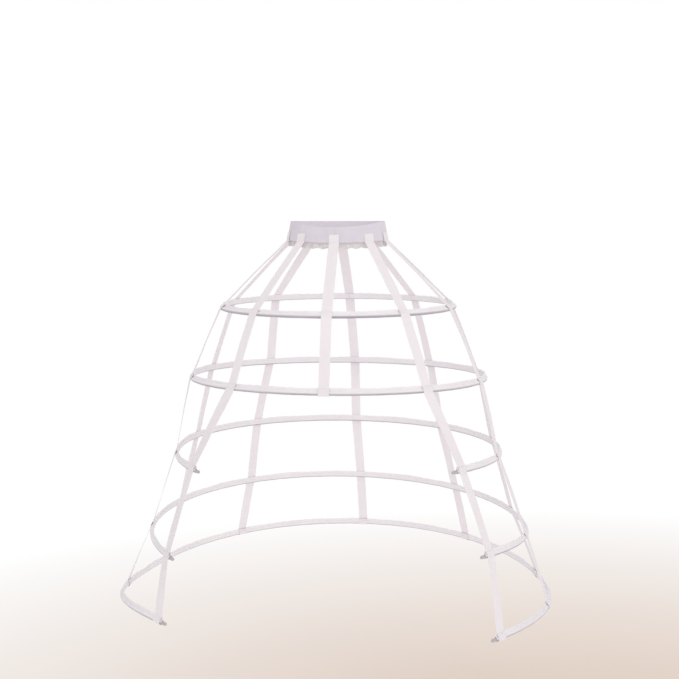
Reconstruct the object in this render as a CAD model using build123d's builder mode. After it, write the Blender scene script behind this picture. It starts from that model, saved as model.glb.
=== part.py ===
from build123d import *

import os
from math import atan2, ceil, cos, degrees, pi, radians, sin, tan

# A cage crinoline: an elastic waistband with a gathered lace edge carries ten straps,
# and the straps carry five hoops. Each hoop is a fabric casing with a flat flange above
# a round channel, and a plastic boning lies in the channel. The two upper hoops are
# closed rings. The three lower hoops are open at the front, between the two front straps.
# Millimetres, +Z up, the front towards -Y, the wearer's left towards +X.
# The origin is the middle of the waist opening, level with the top of the band.
# An azimuth is counted from the front, positive towards the wearer's left.

os.makedirs("parts", exist_ok=True)

# Waistband: an oval elastic strip, wider at its lower edge, that dips at the front
waist_width = 236.0
waist_depth = 186.0
band_spread = 18.0
band_height = 48.0
band_thickness = 1.6
top_dip = 27.0
edge_dip = 16.0
band_lap = 9.0
lap_gap = 0.15

# Lace edge: gathered at the band, waved and scalloped at its free edge
lace_show = 13.0
lace_hidden = 8.0
lace_thickness = 0.8
lace_gap = 0.5
lace_waves = 28
lace_wave_depth = 1.8
lace_scallop = 3.0
lace_opening = 1.0

# Straps: flat tape, sewn on the outside of the band and of every casing
strap_width = 25.0
strap_thickness = 1.0
strap_seam = 20.0
strap_tail = 9.0
seam_gap = 0.3
tail_gap = 1.3

# Casings: tape folded round the boning, its two layers sewn together above it
casing_flange = 10.0
flange_thickness = 1.6
throat_rise = 0.6
channel_wall = 0.9
lean_share = 0.6
butt_gap = 0.6
casing_past_strap = 4.0

# Boning, the sleeves that close the upper rings, and the caps on the free ends
boning_radius = 3.2
boning_slack = 0.9
joint_gap = 1.0
sleeve_length = 36.0
sleeve_gap = 0.1
sleeve_wall = 0.4
cap_length = 15.0
cap_wall = 0.9
cap_depth = 12.0
cap_chamfer = 1.2

# Hoops from the top: radius, height of the boning's centre, sideways offset, how far
# the front hangs lower (tilt) and the left stands higher (roll), in degrees, and how
# far each free end is lifted by its strap
hoops = {
    "hoop_1": dict(radius=294.5, height=-215.0, offset=1.0, tilt=1.0, roll=0.2),
    "hoop_2": dict(radius=373.0, height=-393.0, offset=2.0, tilt=-0.7, roll=-0.1),
    "hoop_3": dict(radius=412.0, height=-582.0, offset=2.0, tilt=1.4, roll=-0.3),
    "hoop_4": dict(radius=479.0, height=-783.0, offset=4.0, tilt=3.8, roll=-0.7),
    "hoop_5": dict(radius=547.0, height=-962.0, offset=-5.0, tilt=5.4, roll=0.5),
}
closed_hoops = ("hoop_1", "hoop_2")
end_lift_left = {"hoop_3": 10.0, "hoop_4": 39.0, "hoop_5": 51.0}
end_lift_right = {"hoop_3": -7.0, "hoop_4": 2.0, "hoop_5": 88.0}
lift_start = 110.0
lift_span = 70.0

# Strap azimuths: on the band, and on each hoop towards the wearer's left and right,
# where the tapes are sewn on a little unevenly. The front pair stands further apart on
# the open hoops and holds their ends.
strap_names = ("centre_front", "front", "side", "side_back", "back", "centre_back")
band_azimuth = dict(zip(strap_names, (0.0, 42.0, 75.0, 108.0, 144.0, 180.0)))
left_azimuth = {
    "hoop_1": dict(front=36.5, side=72.0, side_back=108.0, back=141.5),
    "hoop_2": dict(front=38.0, side=72.0, side_back=109.0, back=142.5),
    "hoop_3": dict(front=49.0, side=77.0, side_back=107.5, back=141.5),
    "hoop_4": dict(front=51.5, side=79.0, side_back=110.5, back=141.5),
    "hoop_5": dict(front=48.5, side=78.0, side_back=106.0, back=141.5),
}
right_azimuth = {
    "hoop_1": dict(front=37.0, side=72.0, side_back=108.0, back=140.0),
    "hoop_2": dict(front=36.5, side=72.0, side_back=110.5, back=144.0),
    "hoop_3": dict(front=52.5, side=77.0, side_back=108.0, back=141.0),
    "hoop_4": dict(front=53.5, side=84.0, side_back=110.5, back=142.5),
    "hoop_5": dict(front=43.0, side=89.0, side_back=114.0, back=144.0),
}
centre_back_azimuth = dict(zip(hoops, (179.0, 178.0, 178.0, 177.5, 176.5)))
last_hoop_of_centre_front = "hoop_2"

# How finely the curves are stepped
largest_step = 10.5
band_steps = 48
lap_run = 4
stations_per_wave = 4
channel_sides = 8
strap_run_steps = 3

# Sizes that follow from the driving ones
half_corner = 180.0 / channel_sides
flat_share = cos(radians(half_corner))
bore_radius = boning_radius + boning_slack
channel_radius = bore_radius + channel_wall
channel_flat = channel_radius * flat_share
flange_top = channel_flat + casing_flange
strap_offset = seam_gap + strap_thickness / 2
band_half = band_thickness / 2
hoop_names = list(hoops)


def smooth_step(share):
    """Goes from 0 to 1 without a corner while share goes from 0 to 1."""
    share = min(max(share, 0.0), 1.0)
    return share * share * (3 - 2 * share)


def outward(azimuth):
    """Level unit vector away from the middle at an azimuth."""
    return Vector(sin(radians(azimuth)), -cos(radians(azimuth)), 0)


def hoop_centre(name, azimuth):
    """Centre of the boning of a hoop at an azimuth."""
    hoop = hoops[name]
    place = outward(azimuth) * hoop["radius"]
    lift = 0.0
    if name not in closed_hoops:
        turned = (azimuth + 180.0) % 360.0 - 180.0
        ends = end_lift_left if turned > 0 else end_lift_right
        lift = ends[name] * smooth_step((lift_start - abs(turned)) / lift_span)
    slope = place.Y * tan(radians(hoop["tilt"])) + place.X * tan(radians(hoop["roll"]))
    return Vector(place.X + hoop["offset"], place.Y, hoop["height"] + slope + lift)


def casing_lean(name):
    """How far a flange leans inwards: a share of the slope of the straps above it."""
    index = hoop_names.index(name)
    low = hoops[name]
    if index:
        above = hoops[hoop_names[index - 1]]
        rise = above["height"] - low["height"]
        run = low["radius"] - above["radius"]
    else:
        rise = -band_height - low["height"]
        run = low["radius"] - (waist_width + waist_depth + 2 * band_spread) / 4
    return lean_share * degrees(atan2(run, rise))


def hoop_plane(name, azimuth):
    """Section plane of a hoop: x away from the middle, y up along the flange."""
    lean = radians(casing_lean(name))
    away = outward(azimuth)
    x_dir = away * cos(lean) + Vector(0, 0, sin(lean))
    back_along = Vector(-cos(radians(azimuth)), -sin(radians(azimuth)), 0)
    return Plane(origin=hoop_centre(name, azimuth), x_dir=x_dir, z_dir=back_along)


def sloped_plane(name, azimuth):
    """Section plane of a hoop that is square to the hoop where it climbs or falls."""
    plane = hoop_plane(name, azimuth)
    before, after = hoop_centre(name, azimuth - 1), hoop_centre(name, azimuth + 1)
    return Plane(origin=plane.origin, x_dir=plane.x_dir, z_dir=before - after)


def plane_between(name, start, end, share):
    """Section plane part of the way along the straight run between two azimuths."""
    plane = hoop_plane(name, start)
    first = hoop_centre(name, start)
    plane.origin = first + (hoop_centre(name, end) - first) * share
    return plane


def degrees_along(name, length):
    """Azimuth that a length along a hoop takes up."""
    return degrees(length / hoops[name]["radius"])


def strap_azimuth(name, strap, sign):
    """Azimuth of a strap on a hoop, on the left with sign 1 and on the right with -1."""
    if strap == "centre_front":
        return 0.0
    if strap == "centre_back":
        return centre_back_azimuth[name]
    return left_azimuth[name][strap] if sign > 0 else -right_azimuth[name][strap]


def strap_azimuths(name):
    """Azimuths of the straps on a hoop, rising all the way from its first to its last.
    A closed hoop starts and ends under the centre back strap, where it is joined."""
    left = list(left_azimuth[name].values())
    right = [360.0 - azimuth for azimuth in reversed(right_azimuth[name].values())]
    back = centre_back_azimuth[name]
    if name in closed_hoops:
        return [back] + right + [360.0] + [azimuth + 360.0 for azimuth in left + [back]]
    return left + [back] + right


def casing_azimuths(name):
    """Stations of a casing, with one at every strap and even steps between them."""
    straps = strap_azimuths(name)
    stations = []
    for start, end in zip(straps, straps[1:]):
        steps = ceil((end - start) / largest_step)
        for step in range(steps):
            stations.append(start + (end - start) * step / steps)
    stations.append(straps[-1])
    if name in closed_hoops:
        half_gap = degrees_along(name, butt_gap / 2)
        stations[0] += half_gap
        stations[-1] -= half_gap
        return stations
    past = degrees_along(name, strap_width / 2 + casing_past_strap)
    return [stations[0] - past] + stations + [stations[-1] + past]


def casing_profile():
    """Section of a casing: a channel round the boning that closes up into the flange."""
    beside = flange_thickness / 2
    throat = channel_flat + throat_rise
    corner = channel_radius * sin(radians(half_corner))
    right_side = [
        (corner, -channel_flat),
        (channel_flat, -corner),
        (channel_flat, corner),
        (beside, throat),
        (beside, flange_top),
    ]
    left_side = [(-x, y) for x, y in reversed(right_side)]
    Polygon(*right_side, *left_side, align=None)


def round_profile(radius):
    """Section of a boning, a sleeve, a cap or a bore."""
    RegularPolygon(radius=radius, side_count=channel_sides, rotation=half_corner)


def save(part, label):
    """Name a finished piece and write it."""
    part.label = label
    export_step(part, f"parts/{label}.step")


# Casings
for hoop_name in hoop_names:
    with BuildPart() as bore:
        for station in casing_azimuths(hoop_name):
            with BuildSketch(hoop_plane(hoop_name, station)):
                round_profile(bore_radius)
        loft(ruled=True)
    with BuildPart() as casing:
        for station in casing_azimuths(hoop_name):
            with BuildSketch(hoop_plane(hoop_name, station)):
                casing_profile()
        loft(ruled=True)
        add(bore.part, mode=Mode.SUBTRACT)
    save(casing.part, f"casing_{hoop_name}")

# Bonings of the closed hoops, and the sleeve that joins the two ends at the back
for hoop_name in closed_hoops:
    stations = casing_azimuths(hoop_name)
    joint = centre_back_azimuth[hoop_name]
    half_gap = degrees_along(hoop_name, joint_gap / 2)
    with BuildPart() as boning:
        for station in [joint + half_gap] + stations[1:-1] + [joint + 360.0 - half_gap]:
            with BuildSketch(hoop_plane(hoop_name, station)):
                round_profile(boning_radius)
        loft(ruled=True)
    save(boning.part, f"boning_{hoop_name}")

    reach = degrees_along(hoop_name, sleeve_length / 2)
    before, after = stations[-2] - 360.0, stations[1]
    sleeve_planes = [
        plane_between(hoop_name, joint, after, reach / (after - joint)),
        hoop_plane(hoop_name, joint),
        plane_between(hoop_name, joint, before, reach / (joint - before)),
    ]
    sleeve_bore = boning_radius + sleeve_gap
    with BuildPart() as sleeve:
        for plane in sleeve_planes:
            with BuildSketch(plane):
                round_profile(sleeve_bore + sleeve_wall)
        loft(ruled=True)
        for plane in sleeve_planes:
            with BuildSketch(plane):
                round_profile(sleeve_bore)
        loft(ruled=True, mode=Mode.SUBTRACT)
    save(sleeve.part, f"joiner_{hoop_name}")

# Bonings of the open hoops, with a cap on each free end
for hoop_name in hoop_names[len(closed_hoops) :]:
    stations = casing_azimuths(hoop_name)
    tip = degrees_along(hoop_name, cap_length)
    ends = {"left": (stations[0], stations[0] - tip), "right": (stations[-1], stations[-1] + tip)}
    boning_share = (cap_depth - sleeve_gap) / cap_length
    with BuildPart() as boning:
        with BuildSketch(plane_between(hoop_name, *ends["left"], boning_share)):
            round_profile(boning_radius)
        for station in stations:
            with BuildSketch(hoop_plane(hoop_name, station)):
                round_profile(boning_radius)
        with BuildSketch(plane_between(hoop_name, *ends["right"], boning_share)):
            round_profile(boning_radius)
        loft(ruled=True)
    save(boning.part, f"boning_{hoop_name}")

    cap_bore = boning_radius + sleeve_gap
    for side, end in ends.items():
        mouth = plane_between(hoop_name, *end, seam_gap / cap_length)
        tip_centre = hoop_centre(hoop_name, end[1])
        axis = (tip_centre - mouth.origin).normalized()
        with BuildPart() as cap:
            with BuildSketch(mouth):
                round_profile(cap_bore + cap_wall)
            extrude(amount=cap_length - seam_gap, dir=axis)
            tip_face = cap.faces().sort_by_distance(tip_centre)[0]
            chamfer(tip_face.edges(), length=cap_chamfer)
            with BuildSketch(mouth):
                round_profile(cap_bore)
            extrude(amount=cap_depth - seam_gap, dir=axis, mode=Mode.SUBTRACT)
        save(cap.part, f"end_cap_{hoop_name}_{side}")


def band_dip(azimuth):
    """Share of the front dip at an azimuth: all of it in front, none from the sides back."""
    return max(cos(radians(azimuth)), 0.0) ** 2


def band_edges(azimuth):
    """Heights of the band's upper and lower edges at an azimuth."""
    return -top_dip * band_dip(azimuth), -band_height - edge_dip * band_dip(azimuth)


def band_slope(height):
    """How far the band's middle surface stands out of the waist oval at a height."""
    return -height / band_height * band_spread / 2


def band_plane(azimuth):
    """Section plane of the band: x out of the oval, y up, its origin on the waist oval."""
    away = outward(azimuth)
    origin = Vector(away.X * waist_width / 2, away.Y * waist_depth / 2, 0)
    x_dir = Vector(away.X / waist_width, away.Y / waist_depth, 0).normalized()
    return Plane(origin=origin, x_dir=x_dir, z_dir=x_dir.cross(Vector(0, 0, 1)))


# Waistband: one strip round the oval, its ends lapped and sewn at the centre front
lap_angle = degrees(band_lap / (waist_width / 2))
with BuildPart() as waistband:
    for step in range(band_steps + 1):
        share = step / band_steps
        azimuth = (360.0 + lap_angle) * share - lap_angle
        lapped = (band_thickness + lap_gap) * smooth_step(1 - (1 - share) * band_steps / lap_run)
        high, low = band_edges(azimuth)
        inner, outer = lapped - band_half, lapped + band_half
        with BuildSketch(band_plane(azimuth)):
            Polygon(
                (band_slope(high) + inner, high),
                (band_slope(high) + outer, high),
                (band_slope(low) + outer, low),
                (band_slope(low) + inner, low),
                align=None,
            )
    loft(ruled=True)
save(waistband.part, "waistband")

# Lace edge: a gathered strip sewn inside the band, with a waved and scalloped free edge
lace_steps = lace_waves * stations_per_wave
with BuildPart() as lace:
    for step in range(lace_steps + 1):
        share = step / lace_steps
        azimuth = lace_opening / 2 + (360.0 - lace_opening) * share
        phase = 2 * pi * lace_waves * share
        low = band_edges(azimuth)[1]
        top = low + lace_hidden
        hem = low - lace_show - lace_scallop * cos(phase) / 2
        gather = lace_wave_depth * (sin(phase) - 1) - band_half - lace_gap
        outer_line = [
            (band_slope(top) + gather, top),
            (band_slope(low) + gather, low),
            (band_slope(low) + gather, hem),
        ]
        inner_line = [(x - lace_thickness, z) for x, z in reversed(outer_line)]
        with BuildSketch(band_plane(azimuth)):
            Polygon(*outer_line, *inner_line, align=None)
    loft(ruled=True)
save(lace.part, "lace_edge")


def strap_contacts(plane, last):
    """Middle line of a strap over a casing: down the flange and round the channel.
    The tail inside the last casing stands off, because the casing curves towards it."""
    beside_flange = flange_thickness / 2 + strap_offset
    stand_off = tail_gap - seam_gap
    corner_radius = (channel_flat + strap_offset) / flat_share
    corners = channel_sides // 2 + 3 if last else 2
    points = [(beside_flange, flange_top)]
    for corner in range(corners):
        angle = radians(half_corner - corner * 2 * half_corner)
        inside = stand_off if cos(angle) < 0 else 0.0
        points.append((corner_radius * cos(angle) - inside, corner_radius * sin(angle)))
    if last:
        points.append((-beside_flange - stand_off, channel_flat + strap_tail))
    return [plane.from_local_coords((x, y, 0)) for x, y in points]


def free_run(start, end):
    """Stations of the free tape between two seams, over which it turns evenly."""
    stations = []
    for step in range(1, strap_run_steps):
        share = step / strap_run_steps
        point = start[0] + (end[0] - start[0]) * share
        across = start[1] + (end[1] - start[1]) * share
        stations.append((point, across.normalized()))
    return stations


def strap_path(strap, sign):
    """Middle line of a strap, as points with the direction across the tape at each."""
    plane = band_plane(band_azimuth[strap] * sign)
    low = band_edges(band_azimuth[strap])[1]
    over_lap = band_thickness + lap_gap if strap == "centre_front" else 0.0
    path = []
    for height in (low + strap_seam, low - strap_offset):
        out = band_slope(height) + band_half + over_lap + strap_offset
        path.append((plane.from_local_coords((out, height, 0)), plane.z_dir))
    last = last_hoop_of_centre_front if strap == "centre_front" else hoop_names[-1]
    for name in hoop_names[: hoop_names.index(last) + 1]:
        azimuth = strap_azimuth(name, strap, sign)
        plane = sloped_plane(name, azimuth) if name == last else hoop_plane(name, azimuth)
        contacts = [(point, plane.z_dir) for point in strap_contacts(plane, name == last)]
        path += free_run(path[-1], contacts[0]) + contacts
    return path


def build_strap(label, path):
    """Tape along a path, mitred at every bend."""
    points = [point for point, _ in path]
    runs = [(b - a).normalized() for a, b in zip(points, points[1:])]
    with BuildPart() as tape:
        for index, (point, across) in enumerate(path):
            before = runs[max(index - 1, 0)]
            after = runs[min(index, len(runs) - 1)]
            with BuildSketch(Plane(origin=point, x_dir=across, z_dir=before + after)):
                Rectangle(strap_width, strap_thickness)
        loft(ruled=True)
    save(tape.part, label)


# Straps
for strap in strap_names:
    if strap.startswith("centre"):
        build_strap(f"strap_{strap}", strap_path(strap, 1))
    else:
        build_strap(f"strap_{strap}_left", strap_path(strap, 1))
        build_strap(f"strap_{strap}_right", strap_path(strap, -1))
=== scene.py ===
from math import atan2, cos, pi, radians, sin, tan

import bpy
import numpy as np
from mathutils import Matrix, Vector


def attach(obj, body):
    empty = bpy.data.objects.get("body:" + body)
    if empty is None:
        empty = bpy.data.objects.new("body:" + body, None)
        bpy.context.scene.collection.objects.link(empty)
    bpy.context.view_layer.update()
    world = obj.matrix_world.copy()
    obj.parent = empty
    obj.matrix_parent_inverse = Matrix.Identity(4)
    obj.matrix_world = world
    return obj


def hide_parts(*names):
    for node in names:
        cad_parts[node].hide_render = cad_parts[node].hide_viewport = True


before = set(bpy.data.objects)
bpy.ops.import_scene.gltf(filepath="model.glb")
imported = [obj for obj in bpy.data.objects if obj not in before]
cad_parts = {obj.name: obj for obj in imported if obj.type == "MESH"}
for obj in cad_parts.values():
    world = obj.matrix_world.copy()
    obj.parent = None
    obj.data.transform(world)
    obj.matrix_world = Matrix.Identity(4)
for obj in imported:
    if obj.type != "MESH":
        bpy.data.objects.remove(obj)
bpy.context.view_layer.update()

# Sizes of the cage in metres. They are those of the CAD source, apart from the band's dips,
# the height of the flange and the straps' tails, which come closer to the photograph.
# Azimuths are counted from the front, positive towards the wearer's left.
WAIST_WIDTH, WAIST_DEPTH = 0.236, 0.186
BAND_SPREAD, BAND_HEIGHT, BAND_THICKNESS = 0.018, 0.048, 0.0016
TOP_DIP, EDGE_DIP = 0.016, 0.006
BAND_LAP, LAP_GAP, LAP_RUN = 0.009, 0.00015, 0.046
LAP_STEP = BAND_THICKNESS + LAP_GAP
BAND_COLUMNS, BAND_EASE = 1120, 1.02
LACE_SHOW, LACE_HIDDEN, LACE_GAP, LACE_THICKNESS = 0.013, 0.008, 0.0005, 0.00045
LACE_WAVES, LACE_WAVE_DEPTH, LACE_SCALLOP, LACE_OPENING = 28, 0.0018, 0.003, 1.0
LACE_CELLS_A_WAVE, LACE_ROWS = 8, 8
SEAM_GAP = 0.0003
STRAP_WIDTH, STRAP_THICKNESS, STRAP_SEAM = 0.025, 0.001, 0.020
STRAP_OFFSET = SEAM_GAP + STRAP_THICKNESS / 2
TAPE_WALL, TAPE_SLACK, CASING_WIDTH = 0.0008, 0.00015, 0.0416
FLANGE_THICKNESS, FLANGE_ROOT, FLANGE_TOP = 0.0016, 0.0062, 0.0124
CHANNEL_RADIUS, CASING_SEAM = 0.005, 0.0078
STRAP_BESIDE = FLANGE_THICKNESS / 2 + STRAP_OFFSET
LEAN_SHARE, BUTT_GAP, PAST_STRAP = 0.6, 0.0006, 0.004
BONING_RADIUS, JOINT_GAP = 0.0032, 0.001
CAP_LENGTH, CAP_DEPTH, CAP_RADIUS = 0.015, 0.012, 0.0042
LIFT_START, LIFT_SPAN = 110.0, 70.0

# Spacing of the mesh lines along a casing, a rod and a free run of strap
CASING_STEP, ROD_STEP, STRAP_STEP = 0.005, 0.009, 0.008

# Spacing of the stitches along a casing, round the band, down its lap and along a strap
CASING_PITCH, BAND_PITCH, LAP_PITCH, STRAP_PITCH = 0.0034, 0.0031, 0.0029, 0.003
STITCHES_ACROSS, STITCH_MARGIN, STITCH_INSET = 8, 0.0045, 0.0022

# Angles at which a strap meets a hoop, leaves it, and ends inside the last one
MEET_ANGLE, LEAVE_ANGLE, TAIL_ANGLE, TAIL_GAP = 30, -24, -262, 0.0005

HOOPS = {
    "hoop_1": dict(radius=0.2945, height=-0.215, offset=0.001, tilt=1.0, roll=0.2),
    "hoop_2": dict(radius=0.373, height=-0.393, offset=0.002, tilt=-0.7, roll=-0.1),
    "hoop_3": dict(radius=0.412, height=-0.582, offset=0.002, tilt=1.4, roll=-0.3),
    "hoop_4": dict(radius=0.479, height=-0.783, offset=0.004, tilt=3.8, roll=-0.7),
    "hoop_5": dict(radius=0.547, height=-0.962, offset=-0.005, tilt=5.4, roll=0.5),
}
CLOSED = ("hoop_1", "hoop_2")
LIFT_LEFT = {"hoop_3": 0.010, "hoop_4": 0.039, "hoop_5": 0.051}
LIFT_RIGHT = {"hoop_3": -0.007, "hoop_4": 0.002, "hoop_5": 0.088}
STRAPS = ("centre_front", "front", "side", "side_back", "back", "centre_back")
BAND_AZIMUTH = dict(zip(STRAPS, (0.0, 42.0, 75.0, 108.0, 144.0, 180.0)))
LEFT_AZIMUTH = {
    "hoop_1": dict(front=36.5, side=72.0, side_back=108.0, back=141.5),
    "hoop_2": dict(front=38.0, side=72.0, side_back=109.0, back=142.5),
    "hoop_3": dict(front=49.0, side=77.0, side_back=107.5, back=141.5),
    "hoop_4": dict(front=51.5, side=79.0, side_back=110.5, back=141.5),
    "hoop_5": dict(front=48.5, side=78.0, side_back=106.0, back=141.5),
}
RIGHT_AZIMUTH = {
    "hoop_1": dict(front=37.0, side=72.0, side_back=108.0, back=140.0),
    "hoop_2": dict(front=36.5, side=72.0, side_back=110.5, back=144.0),
    "hoop_3": dict(front=52.5, side=77.0, side_back=108.0, back=141.0),
    "hoop_4": dict(front=53.5, side=84.0, side_back=110.5, back=142.5),
    "hoop_5": dict(front=43.0, side=89.0, side_back=114.0, back=144.0),
}
BACK_AZIMUTH = dict(zip(HOOPS, (179.0, 178.0, 178.0, 177.5, 176.5)))
UP = np.array([0.0, 0.0, 1.0])


def unit(v):
    return v / np.maximum(np.linalg.norm(v, axis=-1, keepdims=True), 1e-12)


def smooth_step(share):
    share = np.clip(share, 0.0, 1.0)
    return share * share * (3 - 2 * share)


def ripple(run, *waves):
    """A sum of waves along a run, each a height, a length and a phase."""
    return sum(height * np.sin(run / length + phase) for height, length, phase in waves)


def run_along(points):
    """Length along a line of points, at each of them."""
    step = np.linalg.norm(np.diff(points, axis=0), axis=1)
    return np.concatenate([[0], np.cumsum(step)])


def outward(azimuth):
    a = np.radians(np.asarray(azimuth, float))
    return np.stack([np.sin(a), -np.cos(a), np.zeros_like(a)], -1)


def along(azimuth):
    """Level unit vector along a hoop, against the azimuth, as the CAD sections face."""
    a = np.radians(np.asarray(azimuth, float))
    return np.stack([-np.cos(a), -np.sin(a), np.zeros_like(a)], -1)


def hoop_centre(name, azimuth):
    hoop = HOOPS[name]
    azimuth = np.asarray(azimuth, float)
    place = outward(azimuth) * hoop["radius"]
    lift = np.zeros_like(azimuth)
    if name not in CLOSED:
        turned = (azimuth + 180.0) % 360.0 - 180.0
        ends = np.where(turned > 0, LIFT_LEFT[name], LIFT_RIGHT[name])
        lift = ends * smooth_step((LIFT_START - np.abs(turned)) / LIFT_SPAN)
    slope = place[..., 1] * tan(radians(hoop["tilt"])) + place[..., 0] * tan(radians(hoop["roll"]))
    return np.stack(
        [place[..., 0] + hoop["offset"], place[..., 1], hoop["height"] + slope + lift], -1
    )


def casing_lean(name):
    names = list(HOOPS)
    index = names.index(name)
    low = HOOPS[name]
    if index:
        above = HOOPS[names[index - 1]]
        rise, run = above["height"] - low["height"], low["radius"] - above["radius"]
    else:
        rise = -BAND_HEIGHT - low["height"]
        run = low["radius"] - (WAIST_WIDTH + WAIST_DEPTH + 2 * BAND_SPREAD) / 4
    return LEAN_SHARE * atan2(run, rise)


def hoop_axes(name, azimuth):
    """Section axes of a hoop: x away from the middle, y up along the flange."""
    lean = casing_lean(name)
    x_dir = outward(azimuth) * cos(lean) + UP * sin(lean)
    y_dir = np.cross(along(azimuth), x_dir)
    return x_dir, y_dir


def on_hoop(name, azimuth, x, y, sloped=False):
    """Points of a hoop section at an azimuth, square to the hoop's slope if sloped."""
    x_dir, y_dir = hoop_axes(name, azimuth)
    if sloped:
        y_dir = unit(np.cross(hoop_run(name, azimuth), x_dir))
    x, y = np.asarray(x, float), np.asarray(y, float)
    return hoop_centre(name, azimuth) + x_dir * x[..., None] + y_dir * y[..., None]


def hoop_run(name, azimuth):
    """Direction of a hoop at an azimuth, with its slope."""
    return unit(hoop_centre(name, azimuth - 1) - hoop_centre(name, azimuth + 1))


def strap_azimuth(name, strap, sign):
    if strap == "centre_front":
        return 0.0
    if strap == "centre_back":
        return BACK_AZIMUTH[name]
    return LEFT_AZIMUTH[name][strap] if sign > 0 else -RIGHT_AZIMUTH[name][strap]


def strap_azimuths(name):
    left = list(LEFT_AZIMUTH[name].values())
    right = [360.0 - a for a in reversed(RIGHT_AZIMUTH[name].values())]
    back = BACK_AZIMUTH[name]
    if name in CLOSED:
        return [back] + right + [360.0] + [a + 360.0 for a in left + [back]]
    return left + [back] + right


def degrees_along(name, length):
    return np.degrees(length / HOOPS[name]["radius"])


def hoop_span(name):
    """First and last azimuth of a casing."""
    straps = strap_azimuths(name)
    if name in CLOSED:
        half_gap = degrees_along(name, BUTT_GAP / 2)
        return straps[0] + half_gap, straps[-1] - half_gap
    past = degrees_along(name, STRAP_WIDTH / 2 + PAST_STRAP)
    return straps[0] - past, straps[-1] + past


def band_edges(azimuth):
    """Heights of the band's upper and lower edge, which dip at the front."""
    dip = np.maximum(np.cos(np.radians(azimuth)), 0.0) ** 2
    return -TOP_DIP * dip, -BAND_HEIGHT - EDGE_DIP * dip


def band_slope(height):
    return -height / BAND_HEIGHT * BAND_SPREAD / 2


def on_band(azimuth, out, height):
    """Points at a distance out of the waist oval and a height."""
    away = outward(azimuth)
    scale = np.array([WAIST_WIDTH, WAIST_DEPTH, 1.0])
    normal = away / scale
    normal = normal / np.linalg.norm(normal, axis=-1, keepdims=True)
    out, height = np.asarray(out, float), np.asarray(height, float)
    oval = away * scale / 2 * np.array([1, 1, 0])
    return oval + normal * out[..., None] + UP * height[..., None]


# Mesh building


def add_object(name, data):
    obj = bpy.data.objects.new(name, data)
    bpy.context.scene.collection.objects.link(obj)
    return obj


def make_object(name, verts, faces, uvs, material, replaces=()):
    """A smooth mesh that rides on the cage, with one uv pair for each corner of a face."""
    mesh = bpy.data.meshes.new(name)
    mesh.from_pydata(verts.reshape(-1, 3).tolist(), [], [list(f) for f in faces])
    layer = mesh.uv_layers.new(name="UVMap")
    layer.data.foreach_set("uv", np.asarray(uvs, np.float32).ravel())
    mesh.polygons.foreach_set("use_smooth", [True] * len(mesh.polygons))
    mesh.set_sharp_from_angle(angle=radians(48))
    mesh.materials.append(material)
    mesh.validate()
    obj = add_object(name, mesh)
    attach(obj, "root")
    if replaces:
        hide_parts(*replaces)
    return obj


def tube(name, rings, uv_rings, material, replaces=()):
    """A skin over closed rings of points, shaped (rings, points, 3), with flat end faces.
    uv_rings is shaped (rings, points + 1, 2)."""
    count, sides = rings.shape[:2]
    r = np.arange(count - 1)[:, None]
    c = np.arange(sides)[None, :]
    n = (c + 1) % sides
    quads = np.stack(
        [r * sides + c, r * sides + n, (r + 1) * sides + n, (r + 1) * sides + c], -1
    ).reshape(-1, 4)
    uv = np.stack(
        [uv_rings[:-1, :-1], uv_rings[:-1, 1:], uv_rings[1:, 1:], uv_rings[1:, :-1]], 2
    ).reshape(-1, 2)
    faces, uvs = quads.tolist(), [uv]
    for ring, flip in ((0, True), (count - 1, False)):
        for j in range(sides // 2 - 1):
            face = [j, j + 1, sides - 2 - j, sides - 1 - j]
            face = [ring * sides + k for k in face]
            faces.append(face[::-1] if flip else face)
            uvs.append(np.tile(uv_rings[ring, j], (4, 1)))
    return make_object(name, rings, faces, np.concatenate(uvs), material, replaces)


def thick_sheet(name, centre, normal, half, uv, material, replaces=()):
    """Cloth as a closed mesh. centre and normal are shaped (rows, columns, 3), uv (rows,
    columns, 2), and half is half of its thickness."""
    half = np.broadcast_to(half, centre.shape[:2])[..., None]
    rings = np.concatenate([centre + normal * half, (centre - normal * half)[:, ::-1]], 1)
    uv_rings = np.concatenate([uv, uv[:, ::-1], uv[:, :1]], 1)
    return tube(name, rings, uv_rings, material, replaces)


def stitch_shape():
    """One stitch: a short rounded lens along x, standing in z."""
    sides = 6
    angles = np.arange(sides) * 2 * pi / sides
    ring = np.stack([np.zeros(sides), np.cos(angles), 0.75 * np.sin(angles)], -1)
    verts = [np.array([[-0.5, 0, -0.35]])]
    verts += [ring + np.array([x, 0, 0]) for x in (-0.3, 0.3)]
    verts += [np.array([[0.5, 0, -0.35]])]
    faces = []
    for k in range(sides):
        n = (k + 1) % sides
        faces += [[0, 1 + n, 1 + k], [1 + k, 1 + n, 7 + n, 7 + k], [7 + k, 7 + n, 13]]
    return np.concatenate(verts), faces


def stitches(name, rows, length=0.0023, radius=0.00028):
    """Sewn stitches as one mesh. A row is (points, directions, normals), each (n, 3)."""
    points, ahead, normal = (np.concatenate([row[k] for row in rows]) for k in range(3))
    ahead = unit(ahead)
    side = unit(np.cross(normal, ahead))
    up = np.cross(ahead, side)
    shape, shape_faces = stitch_shape()
    verts = (
        points[:, None]
        + ahead[:, None] * (shape[None, :, 0:1] * length)
        + side[:, None] * (shape[None, :, 1:2] * radius)
        + up[:, None] * (shape[None, :, 2:3] * radius)
    )
    faces = [
        [corner + k * len(shape) for corner in face]
        for k in range(len(points))
        for face in shape_faces
    ]
    flat = np.stack([shape[:, 0] * length, shape[:, 1] * radius], -1)
    uvs = np.tile(np.concatenate([flat[face] for face in shape_faces]), (len(points), 1))
    return make_object(name, verts, faces, uvs, THREAD)


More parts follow.
